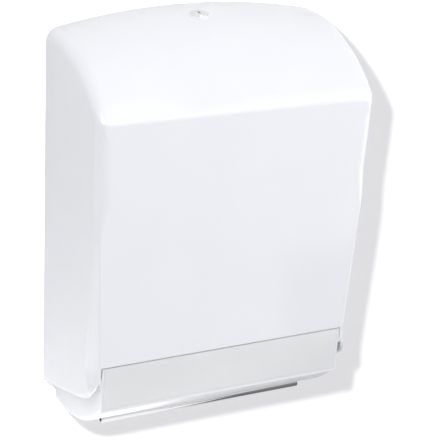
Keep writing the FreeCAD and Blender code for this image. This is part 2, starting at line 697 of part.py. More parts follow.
# ---------------------------------------------------------------- output
guide = make_towel_guide()
pin = make_hinge_pin()
bush = make_hinge_bush()
nodes = {
    "hood": make_hood(),
    "lock_housing": make_lock_housing(),
    "lock_washer": make_lock_washer(),
    "lock_nut": make_lock_nut(),
    "lock_plug": make_lock_plug(),
    "lock_cam": make_lock_cam(),
    "cam_screw": make_cam_screw(),
    "hinge_bush_right": bush,
    "hinge_bush_left": mirrored(bush),
    "hinge_pin_right": pin,
    "hinge_pin_left": mirrored(pin),
    "back_plate": make_back_plate(),
    "towel_guide_right": guide,
    "towel_guide_left": mirrored(guide),
    "guide_screws": screws(guide_screw_places(), PLATE_THICK + GUIDE_SHEET),
    "lower_body": make_lower_body(),
    "body_screws": screws(body_screw_places(), PLATE_THICK + BODY_WALL),
    "window_frame": make_window_frame(),
    "sight_window": make_sight_window(),
    "window_clips": make_window_clips(),
    "outlet_lip": make_outlet_lip(),
    "lip_rivets": make_lip_rivets(),
    "lock_keeper": make_lock_keeper(),
    "keeper_screws": screws(keeper_screw_places(), PLATE_THICK + KEEPER_SHEET),
    "hood_buffers": make_hood_buffers(),
}
os.makedirs("parts", exist_ok=True)
for name, shape in nodes.items():
    shape.exportStep(os.path.join("parts", name + ".step"))
    bound = shape.BoundBox
    print(name, len(shape.Solids), "valid" if shape.isValid() else "INVALID", round(shape.Volume),
          [round(v, 1) for v in (bound.XMin, bound.XMax, bound.YMin, bound.YMax, bound.ZMin, bound.ZMax)])
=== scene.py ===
import json
import math

import bpy
import numpy as np
from mathutils import Matrix, Vector


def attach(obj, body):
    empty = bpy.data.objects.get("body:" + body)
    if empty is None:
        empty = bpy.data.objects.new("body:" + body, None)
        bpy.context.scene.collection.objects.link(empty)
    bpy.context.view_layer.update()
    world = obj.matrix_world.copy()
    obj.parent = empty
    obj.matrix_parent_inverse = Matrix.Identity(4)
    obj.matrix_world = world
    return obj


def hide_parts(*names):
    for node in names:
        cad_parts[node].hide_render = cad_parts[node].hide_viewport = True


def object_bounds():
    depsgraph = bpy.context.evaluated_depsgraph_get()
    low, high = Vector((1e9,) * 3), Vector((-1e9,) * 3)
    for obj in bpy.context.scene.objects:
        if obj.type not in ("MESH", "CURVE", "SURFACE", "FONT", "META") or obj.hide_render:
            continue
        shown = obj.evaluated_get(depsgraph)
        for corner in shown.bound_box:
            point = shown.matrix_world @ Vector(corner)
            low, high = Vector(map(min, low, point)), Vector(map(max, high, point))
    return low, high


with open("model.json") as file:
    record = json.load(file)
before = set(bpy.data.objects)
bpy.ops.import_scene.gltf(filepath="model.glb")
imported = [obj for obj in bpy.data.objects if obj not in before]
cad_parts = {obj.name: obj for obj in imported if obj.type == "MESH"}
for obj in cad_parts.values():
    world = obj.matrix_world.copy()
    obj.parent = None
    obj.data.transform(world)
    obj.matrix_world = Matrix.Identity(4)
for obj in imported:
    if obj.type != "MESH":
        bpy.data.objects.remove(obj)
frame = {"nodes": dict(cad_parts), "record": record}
cad_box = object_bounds()
nodes = frame["nodes"]

MM = 0.001

# ---------------------------------------------------------------- form of the case, in mm
# Depth is a distance out from the wall: a depth d lies at y = -d.
CASE_HALF_WIDTH = 145.0            # at the wall
SIDE_DRAFT = 3.0 / 137.0           # how much a side leans in per depth
CROWN_CENTRE_Z = 45.7              # the crown is an ellipse about this height on the wall,
CROWN_RISE = 163.2                 # with these half axes up
CROWN_REACH = 167.0                # and out
HOOD_WALL = 2.6
FRONT_DEPTH = 126.0                # of the face at its lower edge
FRONT_LEAN = 11.0 / 248.0          # how much the face leans out per height
FRONT_EDGE_Z = -110.0
FRONT_HALF_WIDTH = CASE_HALF_WIDTH - SIDE_DRAFT * FRONT_DEPTH
HOOD_EDGE_Z = -110.6               # the face's lower edge
BACK_EDGE_Z = -183.0               # the sides' lower edge at the wall
RIM_SLOPE = 22.5 / 78.0            # its rise per depth
RIM_TURN_DEPTH = 90.0              # where the sides' lower edge starts to sweep up
RIM_END = (137.0, -118.0)          # where the sweep ends: depth, measured on round the
                                   # corner, and height
RIM_ROLL = (1.0, 6.0)              # how far the side curls in at its lower edge, over
                                   # what height
RIM_ROLL_FACE = 0.2                # share of that curl left on the face
RIM_STEPS = 9
ARCH_SPAN = 120.0                  # the crown falls by this drop over this half width
ARCH_DROP = (10.7, 1.0)            # at the wall, at the front
SHOULDER = (11.7, 9.8)             # rounding strength at the wall, at the front
SHOULDER_BLEND = (77.0, 137.0)     # depths between which the shoulder tightens
CREASE_ROUND = 1.1                 # edge between the top and the face
CREASE_FADE = 10.9                 # how far from the shoulder the crease starts to soften
CORNER_ROUND = 11.0                # front corner above the bevel
CORNER_FADE = (70.0, 20.0)         # heights between which the front corner turns crisp
FLARE = 0.6                        # share of the side's draft that is gone at the top
FLARE_Z = (20.0, 120.0)
BEVEL_ROUND = 0.7
BEVEL_TOP_Z = 86.0
BEVEL_DEPTH = 16.0                 # on the side, at the lower end
BEVEL_WIDTH = 7.6                  # on the face, at the lower end
BEVEL_END = (-112.0, -142.0)       # heights between which the bevel runs out into the side
BEVEL_END_RISE = 5.0               # how far it has moved off the side there
MOUTH_HALF_WIDTH = 131.4           # inside of the hood beside the window's frame
MOUTH_CORNER = 133.0               # the face's lower edge is level out to here
CORE = 22.0                        # distance of the mesh's core line inside the corners
CORE_X = FRONT_HALF_WIDTH - CORE
RAY_REACH = 60.0                   # longer than any way from the core line to the skin,
FAN_REACH = 200.0                  # from the crown's centre line
EAR_REACH = 20.0                   # and from the ears
HALVINGS = 26                      # of such a way, to find the skin
SIDE_STEPS, CORNER_STEPS, FACE_STEPS = 48, 37, 46      # along the half outline
COLUMN_STEPS = 76
AT_WALL = 0.01                     # depth within which a point counts as on the wall
# Fine valley along the bevel's rear edge and round its lower end: where it starts, then
# a curve's three handles, as (depth, height).
VALLEY_START = (131.0, 48.0)
VALLEY_CURVE = ((111.4, -114.0), (109.2, -130.0), (122.0, -129.0))
VALLEY_DEEP = 0.4
VALLEY_WIDTH = 1.3
VALLEY_FADE = (40.0, -70.0)        # heights between which it grows to its full depth
LOCK_DEPTH = 33.0
LOCK_TILT = math.radians(5.0)
PLUG_RADIUS = 5.0
PLUG_LENGTH = 20.35
PLUG_FACE = 1.2                    # height of its face over the lock's seat
KEYWAY = (2.2, 6.4, 8.0)           # width, length and depth
TAIL_HALF = 3.0                    # square tail through the cam
TAIL_END = -21.3
SCREW_HOLE = (2.0, 4.4)            # radius and depth, up into the tail
PLUG_EDGE = 0.25
BOSS_RADIUS = 10.5
BOSS_BORE = 7.2
BOSS_EDGE = 0.5
BOSS_RISE = 0.8
BOSS_DROP = 4.0
BOSS_RELIEF = 0.02                 # how far its top lies under the lock's seat
HINGE = (118.0, -124.0)            # depth and height of the hinge pins
EAR_RADIUS = 6.5
EAR_BORE = 3.6
EAR_STEPS = 48
FRAME_HALF_WIDTH = 131.0
FRAME_BOTTOM_Z = -161.0
FRAME_TOP_Z = -111.2
FRAME_STILE = 2.2                  # visible widths of the frame beside,
FRAME_RAIL = 3.6                   # under
FRAME_HEAD = 0.5                   # and over the window
FRAME_RECESS = 0.5
FRAME_THICK = 3.0
FRAME_EDGE = (0.1, 0.15)           # softened inner edge: width and depth
WINDOW_THICK = 1.8
WINDOW_GAP = 0.15                  # between its edge and the frame
WINDOW_BACK_GAP = 0.2              # between its back and the frame's ledge
WINDOW_EDGE = 0.3
LEDGE = 4.0


# ---------------------------------------------------------------- materials
MIX_A, MIX_B, MIX_RESULT = 6, 7, 2     # colour sockets of the Mix node
MOTTLE_SCALE = 18.0                    # all scales are per metre
PLASTIC_GLOSS_SCALE = 60.0
PLASTIC_WAVE_SCALE = 14.0
METAL_GLOSS_SCALE = 90.0
RUBBED_EDGE = 0.0012                   # metres
RUBBED_SHARE = 0.5                     # how much of the paler colour an edge takes
RUBBED_PALER = 1.06
PLASTIC_IOR = 1.5


def empty_tree(owner):
    """Node tree of a material or world, with nothing in it."""
    owner.use_nodes = True
    owner.node_tree.nodes.clear()
    return owner.node_tree


def new_material(name):
    mat = bpy.data.materials.new(name)
    tree = empty_tree(mat)
    out = tree.nodes.new("ShaderNodeOutputMaterial")
    shader = tree.nodes.new("ShaderNodeBsdfPrincipled")
    tree.links.new(shader.outputs["BSDF"], out.inputs["Surface"])
    return mat, tree, shader


def noise(tree, scale, detail=2.0, rough=0.5, stretch=(1, 1, 1)):
    """Noise texture in object coordinates."""
    coord = tree.nodes.new("ShaderNodeTexCoord")
    mapping = tree.nodes.new("ShaderNodeMapping")
    mapping.inputs["Scale"].default_value = stretch
    tex = tree.nodes.new("ShaderNodeTexNoise")
    tex.inputs["Scale"].default_value = scale
    tex.inputs["Detail"].default_value = detail
    tex.inputs["Roughness"].default_value = rough
    tree.links.new(coord.outputs["Object"], mapping.inputs["Vector"])
    tree.links.new(mapping.outputs["Vector"], tex.inputs["Vector"])
    return tex.outputs["Fac"]


def ramp(tree, value, low, high, start=0.35, end=0.65):
    """Blend from low to high as value goes from start to end. Both are colours or numbers."""
    node = tree.nodes.new("ShaderNodeMapRange")
    node.inputs["From Min"].default_value = start
    node.inputs["From Max"].default_value = end
    tree.links.new(value, node.inputs["Value"])
    if isinstance(low, tuple):
        mix = tree.nodes.new("ShaderNodeMix")
        mix.data_type = "RGBA"
        mix.inputs[MIX_A].default_value = (*low, 1)
        mix.inputs[MIX_B].default_value = (*high, 1)
        tree.links.new(node.outputs["Result"], mix.inputs[0])
        return mix.outputs[MIX_RESULT]
    node.inputs["To Min"].default_value = low
    node.inputs["To Max"].default_value = high
    return node.outputs["Result"]


def edge_wear(tree, size, strength):
    """Up to strength on edges within size metres, else 0."""
    geometry = tree.nodes.new("ShaderNodeNewGeometry")
    bevel = tree.nodes.new("ShaderNodeBevel")
    bevel.samples = 4
    bevel.inputs["Radius"].default_value = size
    dot = tree.nodes.new("ShaderNodeVectorMath")
    dot.operation = "DOT_PRODUCT"
    tree.links.new(geometry.outputs["Normal"], dot.inputs[0])
    tree.links.new(bevel.outputs["Normal"], dot.inputs[1])
    return ramp(tree, dot.outputs["Value"], strength, 0.0, 0.6, 1.0)


def add_bump(tree, shader, height, distance):
    bump = tree.nodes.new("ShaderNodeBump")
    bump.inputs["Strength"].default_value = 1.0
    bump.inputs["Distance"].default_value = distance
    tree.links.new(height, bump.inputs["Height"])
    tree.links.new(bump.outputs["Normal"], shader.inputs["Normal"])


def plastic(name, low, high, rough, wave=0.00002):
    """Moulded plastic: faint mottle, slow waviness in the gloss, rubbed edges."""
    mat, tree, shader = new_material(name)
    base = ramp(tree, noise(tree, MOTTLE_SCALE, 4.0), low, high)
    rubbed = edge_wear(tree, RUBBED_EDGE, RUBBED_SHARE)
    mix = tree.nodes.new("ShaderNodeMix")
    mix.data_type = "RGBA"
    tree.links.new(rubbed, mix.inputs[0])
    tree.links.new(base, mix.inputs[MIX_A])
    mix.inputs[MIX_B].default_value = (*[min(1.0, c * RUBBED_PALER) for c in high], 1)
    tree.links.new(mix.outputs[MIX_RESULT], shader.inputs["Base Color"])
    tree.links.new(ramp(tree, noise(tree, PLASTIC_GLOSS_SCALE, 5.0), *rough),
                   shader.inputs["Roughness"])
    add_bump(tree, shader, noise(tree, PLASTIC_WAVE_SCALE, 2.0), wave)
    shader.inputs["IOR"].default_value = PLASTIC_IOR
    return mat


def metal(name, low, high, rough, stretch=(1, 1, 1), grain=400.0, depth=0.00001):
    """Metal with a rolled or turned grain along the stretched axis."""
    mat, tree, shader = new_material(name)
    lines = noise(tree, grain, 3.0, 0.6, stretch)
    tree.links.new(ramp(tree, lines, low, high), shader.inputs["Base Color"])
    tree.links.new(ramp(tree, noise(tree, METAL_GLOSS_SCALE, 4.0), *rough),
                   shader.inputs["Roughness"])
    add_bump(tree, shader, lines, depth)
    shader.inputs["Metallic"].default_value = 1.0
    return mat


HOOD_WHITE = plastic("hood_white", (0.805, 0.815, 0.848), (0.815, 0.825, 0.856), (0.09, 0.13))
BODY_WHITE = plastic("body_white", (0.803, 0.809, 0.835), (0.811, 0.817, 0.842), (0.22, 0.26),
                     0.000003)
INNER_GREY = plastic("inner_grey", (0.60, 0.61, 0.63), (0.66, 0.67, 0.69), (0.38, 0.5))
BUSH_BLACK = plastic("bush_black", (0.02, 0.02, 0.022), (0.035, 0.035, 0.038), (0.4, 0.5))
RUBBER_BLACK = plastic("rubber_black", (0.02, 0.02, 0.02), (0.04, 0.04, 0.04), (0.6, 0.75))
LIP_METAL = metal("lip_metal", (0.62, 0.62, 0.63), (0.66, 0.66, 0.67), (0.16, 0.22),
                  (0.02, 1, 1), 500.0, 0.000002)
ZINC = metal("zinc", (0.55, 0.56, 0.58), (0.68, 0.68, 0.69), (0.28, 0.42))
CHROME = metal("chrome", (0.81, 0.815, 0.83), (0.86, 0.865, 0.88), (0.08, 0.14), (1, 1, 1),
               200.0)


def window_material():
    """Translucent light grey sheet."""
    mat, tree, shader = new_material("window_grey")
    base = ramp(tree, noise(tree, 25.0, 3.0), (0.765, 0.768, 0.772), (0.785, 0.788, 0.792))
    tree.links.new(base, shader.inputs["Base Color"])
    tree.links.new(ramp(tree, noise(tree, 70.0, 4.0), 0.3, 0.38), shader.inputs["Roughness"])
    add_bump(tree, shader, noise(tree, 16.0, 2.0), 0.00002)
    shader.inputs["Transmission Weight"].default_value = 0.06
    return mat


WINDOW = window_material()

SLOT_MATERIALS = {
    "hood_plastic": HOOD_WHITE, "body_plastic": BODY_WHITE, "inner_plastic": INNER_GREY,
    "window_plastic": WINDOW, "bush_plastic": BUSH_BLACK, "lip_steel": LIP_METAL,
    "steel": ZINC, "chrome": CHROME, "rubber": RUBBER_BLACK,
}
for part in frame["record"]["subparts"]:
    mesh = nodes[part["node"]].data
    mesh.materials.clear()
    mesh.materials.append(SLOT_MATERIALS[part["material_slot"]])


# ---------------------------------------------------------------- mesh helpers
def put_in_scene(obj):
    bpy.context.scene.collection.objects.link(obj)
    return obj


def joined(points, faces):
    """Points without repeats, the faces that are left, and which points were kept."""
    _, kept, place = np.unique(np.round(points, 4), axis=0, return_index=True,
                               return_inverse=True)
    place = place.reshape(-1)
    left = []
    for face in faces:
        loop = [place[i] for i in face]
        loop = [v for i, v in enumerate(loop) if v != loop[i - 1]]
        if len(set(loop)) == len(loop) > 2:
            left.append(loop)
    return points[kept], left, kept


def add_piece(name, points, faces, material, body, normals=None):
    """Smooth mesh object from points in mm, riding on a body."""
    mesh = bpy.data.meshes.new(name)
    points, faces, kept = joined(np.asarray(points, dtype=float), faces)
    mesh.from_pydata([tuple(p) for p in points * MM], [], faces)
    mesh.polygons.foreach_set("use_smooth", [True] * len(mesh.polygons))
    mesh.materials.append(material)
    obj = put_in_scene(bpy.data.objects.new(name, mesh))
    mesh.update()
    if normals is not None:
        mesh.normals_split_custom_set_from_vertices([tuple(n) for n in normals[kept]])
    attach(obj, body)
    return obj


def grid_faces(rows, columns, wrap=False):
    """Quads over a rows x columns block of points; wrap joins the last column to the first."""
    faces = []
    last = columns if wrap else columns - 1
    for r in range(rows - 1):
        for c in range(last):
            a = r * columns + c
            b = r * columns + (c + 1) % columns
            faces.append((a, b, b + columns, a + columns))
    return faces


# ---------------------------------------------------------------- hood surface
def rounded_and(a, b, r):
    """Inside both a < 0 and b < 0, with the edge rounded."""
    outer = np.hypot(np.maximum(a + r, 0), np.maximum(b + r, 0)) - r
    return np.where((a > -r) & (b > -r), outer, np.maximum(a, b))


def mix(pair, t):
    return pair[0] + (pair[1] - pair[0]) * t


def smooth(t):
    t = np.clip(t, 0, 1)
    return t * t * (3 - 2 * t)


def smooth_between(value, span):
    """0 where value is at the span's start, 1 at its end."""
    start, end = span
    return smooth((value - start) / (end - start))


def front_depth(z):
    return FRONT_DEPTH + FRONT_LEAN * (z - FRONT_EDGE_Z)


def side_distance(x, d, z):
    """How far outside the side."""
    draft = SIDE_DRAFT * (1 - FLARE * smooth_between(z, FLARE_Z))
    return x - (CASE_HALF_WIDTH - draft * d)


def crown_distance(x, d, z):
    """How far above the crown, which is an ellipse out from the wall, arched across."""
    drop = mix(ARCH_DROP, np.clip(d / FRONT_DEPTH, 0, 1.2))
    arch = ARCH_SPAN ** 2 / (2 * np.maximum(drop, 0.2))
    top = CROWN_CENTRE_Z + CROWN_RISE * np.sqrt(np.maximum(1 - (d / CROWN_REACH) ** 2, 1e-4))
    return z - (top - arch + np.sqrt(np.maximum(arch * arch - x * x, 1.0)))


def side_and_crown(x, d, z):
    shoulder = mix(SHOULDER, smooth_between(d, SHOULDER_BLEND))
    return rounded_and(side_distance(x, d, z), crown_distance(x, d, z), shoulder)


def unit_field(field, x, d, z):
    """Field divided by its gradient's length, so it reads as a distance near the surface."""
    h = 0.02
    gx = (field(x + h, d, z) - field(x - h, d, z)) / (2 * h)
    gd = (field(x, d + h, z) - field(x, d - h, z)) / (2 * h)
    gz = (field(x, d, z + h) - field(x, d, z - h)) / (2 * h)
    return field(x, d, z) / np.maximum(np.sqrt(gx * gx + gd * gd + gz * gz), 1e-6)


def bevel_plane():
    """A point on the bevel and its normal, outward."""
    top = np.array([FRONT_HALF_WIDTH, front_depth(BEVEL_TOP_Z), BEVEL_TOP_Z])
    on_side = np.array([FRONT_HALF_WIDTH, FRONT_DEPTH - BEVEL_DEPTH, FRONT_EDGE_Z])
    on_face = np.array([FRONT_HALF_WIDTH - BEVEL_WIDTH, FRONT_DEPTH, FRONT_EDGE_Z])
    normal = np.cross(on_side - top, on_face - top)
    normal = normal / np.linalg.norm(normal)
    return top, normal if normal[1] > 0 else -normal


BEVEL_POINT, BEVEL_NORMAL = bevel_plane()


def bezier(a, b, c, count):
    t = np.linspace(0, 1, count)[:, None]
    a, b, c = np.array(a), np.array(b), np.array(c)
    return a * (1 - t) ** 2 + b * 2 * t * (1 - t) + c * t * t


VALLEY = np.concatenate([[VALLEY_START], bezier(*VALLEY_CURVE, 9)])


def valley(x, d, z):
    """How far the skin is sunk in the valley."""
    nearest = np.full(d.shape, 1e9)
    for (d0, z0), (d1, z1) in zip(VALLEY, VALLEY[1:]):
        run_d, run_z = d1 - d0, z1 - z0
        t = np.clip(((d - d0) * run_d + (z - z0) * run_z) / (run_d ** 2 + run_z ** 2), 0, 1)
        nearest = np.minimum(nearest, np.hypot(d - d0 - t * run_d, z - z0 - t * run_z))
    start, end = VALLEY_FADE
    fade = np.clip((start - z) / (start - end), 0, 1) * (x > MOUTH_HALF_WIDTH)
    return VALLEY_DEEP * fade * np.exp(-(nearest / VALLEY_WIDTH) ** 2)


def hood_field(p):
    """Below zero inside the hood's outer surface. p is (..., 3): x, depth, z."""
    x, d, z = np.abs(p[..., 0]), p[..., 1], p[..., 2]
    skin = unit_field(side_and_crown, x, d, z)
    bevel = ((x - BEVEL_POINT[0]) * BEVEL_NORMAL[0] + (d - BEVEL_POINT[1]) * BEVEL_NORMAL[1]
             + (z - BEVEL_POINT[2]) * BEVEL_NORMAL[2])
    bevel = bevel - BEVEL_END_RISE * smooth_between(z, BEVEL_END)
    skin = rounded_and(skin, bevel, BEVEL_ROUND)
    front = (d - front_depth(z)) / math.hypot(1, FRONT_LEAN)
    corner = mix((CORNER_ROUND, BEVEL_ROUND * 2), smooth_between(z, CORNER_FADE))
    beside = side_distance(x, d, z) - crown_distance(x, d, z) + CREASE_FADE
    beside = beside / (2 * CREASE_FADE)
    edge = mix((CREASE_ROUND, corner), smooth(beside))
    return rounded_and(skin, front, edge) + valley(x, d, z)


def hood_normals(p):
    """Outward normals: the field's gradient."""
    h = 0.05
    grads = []
    for axis in range(3):
        step = np.zeros(3)
        step[axis] = h
        grads.append(hood_field(p + step) - hood_field(p - step))
    n = np.stack(grads, axis=-1)
    return n / np.maximum(np.linalg.norm(n, axis=-1, keepdims=True), 1e-9)


def shoot(origin, direction, reach):
    """Points where rays from inside the hood leave it."""
    low = np.zeros(origin.shape[:-1])
    high = np.full(origin.shape[:-1], reach)
    for _ in range(HALVINGS):
        middle = (low + high) / 2
        inside = hood_field(origin + direction * middle[..., None]) < 0
        low = np.where(inside, middle, low)
        high = np.where(inside, high, middle)
    return origin + direction * ((low + high) / 2)[..., None]


def outline_rays():
    """Half outline from the wall round to the middle: (core x, core depth share, direction)."""
    rays = []
    for share in np.linspace(0, 1, SIDE_STEPS)[:-1]:
        rays.append((1.0, share, 1.0, 0.0))
    for angle in np.linspace(0, math.pi / 2, CORNER_STEPS):
        rays.append((1.0, 1.0, math.cos(angle), math.sin(angle)))
    for share in np.linspace(1, 0, FACE_STEPS)[1:]:
        rays.append((share, 1.0, 0.0, 1.0))
    return np.array(rays)


RAYS = outline_rays()


def rim_height(at):
    """Height of the hood's lower edge at points on its skin: a line forward from the wall,
    then an arc tangent to it that goes on round the front corner."""
    depth = at[:, 1]
    depth = depth + np.maximum(CASE_HALF_WIDTH - SIDE_DRAFT * depth - at[:, 0], 0)
    turn = np.array([RIM_TURN_DEPTH, BACK_EDGE_Z + RIM_SLOPE * RIM_TURN_DEPTH])
    up = np.array([-RIM_SLOPE, 1.0]) / math.hypot(RIM_SLOPE, 1.0)
    run = np.array(RIM_END) - turn
    radius = run @ run / (2 * (up @ run))
    centre = turn + up * radius
    across = np.minimum(depth, RIM_END[0]) - centre[0]
    sweep = centre[1] - np.sqrt(np.maximum(radius ** 2 - across ** 2, 0))
    return np.where(depth < turn[0], BACK_EDGE_Z + RIM_SLOPE * depth, sweep)


def fan_rows():
    """Rows above the crown's centre, fanned forward from the wall, closest at the crease."""
    degrees = np.concatenate([np.arange(0, 50, 2.0), np.arange(50, 53, 1.0),
                              np.arange(53, 58, 0.15), np.arange(58, 75, 0.5),
                              np.linspace(75, 90, 12)])
    rows = []
    for angle in np.radians(degrees):
        up = np.array([0.0, math.sin(angle), math.cos(angle)])
        start = np.array([[CORE_X, 0.0, CROWN_CENTRE_Z]])
        top = shoot(start, up[None, :], FAN_REACH)
        core = np.linalg.norm(top[0] - start[0]) - CORE
        origin = np.outer(RAYS[:, 1] * core, up) + [0, 0, CROWN_CENTRE_Z]
        origin[:, 0] = RAYS[:, 0] * CORE_X
        direction = np.outer(RAYS[:, 3], up)
        direction[:, 0] = RAYS[:, 2]
        rows.append(shoot(origin, direction, RAY_REACH))
    return rows


def column_rows():
    """Rows below the crown's centre, down to where the rim's rounding starts."""
    share = 1 - np.linspace(1, 0, COLUMN_STEPS)[1:] ** 1.6      # closer toward the rim
    core = front_depth(CROWN_CENTRE_Z) - CORE
    origin = np.zeros((len(RAYS), 3))
    origin[:, 0] = RAYS[:, 0] * CORE_X
    origin[:, 1] = RAYS[:, 1] * core
    direction = np.zeros((len(RAYS), 3))
    direction[:, 0] = RAYS[:, 2]
    direction[:, 1] = RAYS[:, 3]
    end = np.full(len(RAYS), HOOD_EDGE_Z)
    for _ in range(5):
        origin[:, 2] = end
        at = shoot(origin, direction, RAY_REACH)
        face = (at[:, 0] < MOUTH_CORNER) & (at[:, 1] > RIM_TURN_DEPTH)
        end = np.where(face, HOOD_EDGE_Z, rim_height(at))
    end = end + HOOD_WALL / 2
    rows = []
    for s in share:
        origin[:, 2] = CROWN_CENTRE_Z + (end - CROWN_CENTRE_Z) * s
        rows.append(shoot(origin, direction, RAY_REACH))
    return rows


def mirror_row(row):
    """Half outline carried on over the middle to the other side."""
    other = row[:-1] * [-1, 1, 1]
    return np.concatenate([row, other[::-1]])


def curl_rim(outer, normal):
    """Curl the skin in at its lower edge, most where it faces sideways."""
    depth, height = RIM_ROLL
    curl = np.clip(1 - (outer[..., 2] - outer[-1, :, 2]) / height, 0, 1)
    sideways = RIM_ROLL_FACE + (1 - RIM_ROLL_FACE) * np.abs(normal[..., 0]) ** 2
    outer = outer - normal * (depth * sideways * curl ** 2)[..., None]
    outer[..., 1] = np.clip(outer[..., 1], 0, -cad_box[0][1] / MM)
    normal[..., 2] -= 2 * depth / height * sideways * curl
    return outer, normal / np.linalg.norm(normal, axis=-1, keepdims=True)


def rim_rows(last, last_n):
    """Half-round rows under the skin's last row, and their normals."""
    down = np.cross(np.gradient(last, axis=0), last_n)
    down = down / np.linalg.norm(down, axis=-1, keepdims=True)
    down = down * np.where(down[:, 2:3] > 0, -1, 1)
    half = HOOD_WALL / 2
    rim, rim_n = [], []
    for angle in np.linspace(0, math.pi, RIM_STEPS)[1:-1]:
        out = last_n * math.cos(angle) + down * math.sin(angle)
        rim.append(last - last_n * half + out * half)
        rim_n.append(out)
    return np.array(rim), np.array(rim_n)


def wall_edge_faces(total, count):
    """Faces that close the hood's edge on the wall, up both sides and over the top."""
    faces = []
    for edge in (0, count - 1):
        for r in range(total // 2):
            a = r * count + edge
            b = (r + 1) * count + edge
            c = (total - 2 - r) * count + edge
            d = (total - 1 - r) * count + edge
            faces.append((d, c, b, a) if edge else (a, b, c, d))
    for c in range(count - 1):
        a = (total - 1) * count + c
        faces.append((a, a + 1, c + 1, c))
    return faces


def make_hood():
    """Outer skin from the top down, rounded rim, then the inner skin back up."""
    outer = np.array([mirror_row(row) for row in fan_rows() + column_rows()])
    normal = hood_normals(outer)
    normal[..., 1] = np.where(outer[..., 1] < AT_WALL, np.maximum(normal[..., 1], 0),
                              normal[..., 1])
    outer, normal = curl_rim(outer, normal)
    rim, rim_n = rim_rows(outer[-1], normal[-1])
    inner = outer[::-1] - normal[::-1] * HOOD_WALL
    inner[..., 1] = np.where(outer[::-1][..., 1] < AT_WALL, 0, inner[..., 1])
    points = np.concatenate([outer, rim, inner]) * [1, -1, 1]
    normals = np.concatenate([normal, rim_n, -normal[::-1]]) * [1, -1, 1]
    total, count = points.shape[:2]
    faces = grid_faces(total, count) + wall_edge_faces(total, count)
    return add_piece("hood_shell", points.reshape(-1, 3), faces, HOOD_WHITE, "hood",
                     normals.reshape(-1, 3))


hood = make_hood()
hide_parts("hood")


def crown_z(depth):
    return CROWN_CENTRE_Z + CROWN_RISE * math.sqrt(1 - (depth / CROWN_REACH) ** 2)


LOCK_SEAT = (0, -LOCK_DEPTH, crown_z(LOCK_DEPTH) + BOSS_RISE)


def on_lock_axis(x, y, z):
    """Points given about the lock's axis, which leans forward, as points of the case."""
    leaned = [x, y * math.cos(LOCK_TILT) - z * math.sin(LOCK_TILT),
              y * math.sin(LOCK_TILT) + z * math.cos(LOCK_TILT)]
    return np.stack(leaned, axis=-1).reshape(-1, 3) + LOCK_SEAT


def make_lock_boss():
    """Raised round seat of the lock in the hood's top."""
    segments = 96
    profile = [(BOSS_BORE, -BOSS_DROP), (BOSS_RADIUS, -BOSS_DROP)]
    for angle in np.radians(np.linspace(0, 90, 6)):
        profile.append((BOSS_RADIUS - BOSS_EDGE + BOSS_EDGE * math.cos(angle),
                        -BOSS_EDGE - BOSS_RELIEF + BOSS_EDGE * math.sin(angle)))
    profile.append((BOSS_BORE, -BOSS_RELIEF))
    profile = np.array(profile)
    radius, height = profile[:, 0][:, None], profile[:, 1][:, None]
    turn = np.linspace(0, 2 * math.pi, segments, endpoint=False)
    x = radius * np.cos(turn)
    points = on_lock_axis(x, radius * np.sin(turn), np.broadcast_to(height, x.shape))
    faces = grid_faces(len(profile), segments, wrap=True)
    last = (len(profile) - 1) * segments
    for c in range(segments):
        after = (c + 1) % segments
        faces.append((last + c, last + after, after, c))
    boss = add_piece("lock_boss", points, faces, HOOD_WHITE, "hood")
    boss.data.set_sharp_from_angle(angle=math.radians(35))


def make_lock_plug():
    """Plug with its keyway front to back, a softened face and a square tail with a screw
    hole."""
    width, length, depth = KEYWAY
    corner = math.atan2(length, width)
    corners = [corner, math.pi - corner, math.pi + corner, -corner % math.tau]
    turn = np.linspace(0, 2 * math.pi, 48, endpoint=False)
    turn = np.sort(np.append(turn, corners))
    cos, sin = np.cos(turn), np.sin(turn)

    def ring(radius, z):
        return np.stack([radius * cos, radius * sin, np.full(len(turn), z)], axis=-1)

    def oblong(half_x, half_y, z):
        reach = np.minimum(half_x / np.maximum(abs(cos), 1e-9),
                           half_y / np.maximum(abs(sin), 1e-9))
        return ring(reach, z)

    end = PLUG_FACE - PLUG_LENGTH
    hole, hole_depth = SCREW_HOLE
    rings = [oblong(width / 2, length / 2, PLUG_FACE - depth),
             oblong(width / 2, length / 2, PLUG_FACE),
             ring(PLUG_RADIUS - PLUG_EDGE, PLUG_FACE),
             ring(PLUG_RADIUS, PLUG_FACE - PLUG_EDGE),
             ring(PLUG_RADIUS, end),
             oblong(TAIL_HALF, TAIL_HALF, end),
             oblong(TAIL_HALF, TAIL_HALF, TAIL_END),
             ring(hole, TAIL_END),
             ring(hole, TAIL_END + hole_depth)]
    points = on_lock_axis(*np.concatenate(rings).T)
    count = len(turn)
    last = count * (len(rings) - 1)
    faces = grid_faces(len(rings), count, wrap=True)
    faces += [tuple(range(count))[::-1], tuple(range(last, last + count))]
    faces = [face[::-1] for face in faces]
    plug = add_piece("lock_plug_core", points, faces, CHROME, "lock_core")
    plug.data.set_sharp_from_angle(angle=math.radians(30))
    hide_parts("lock_plug")


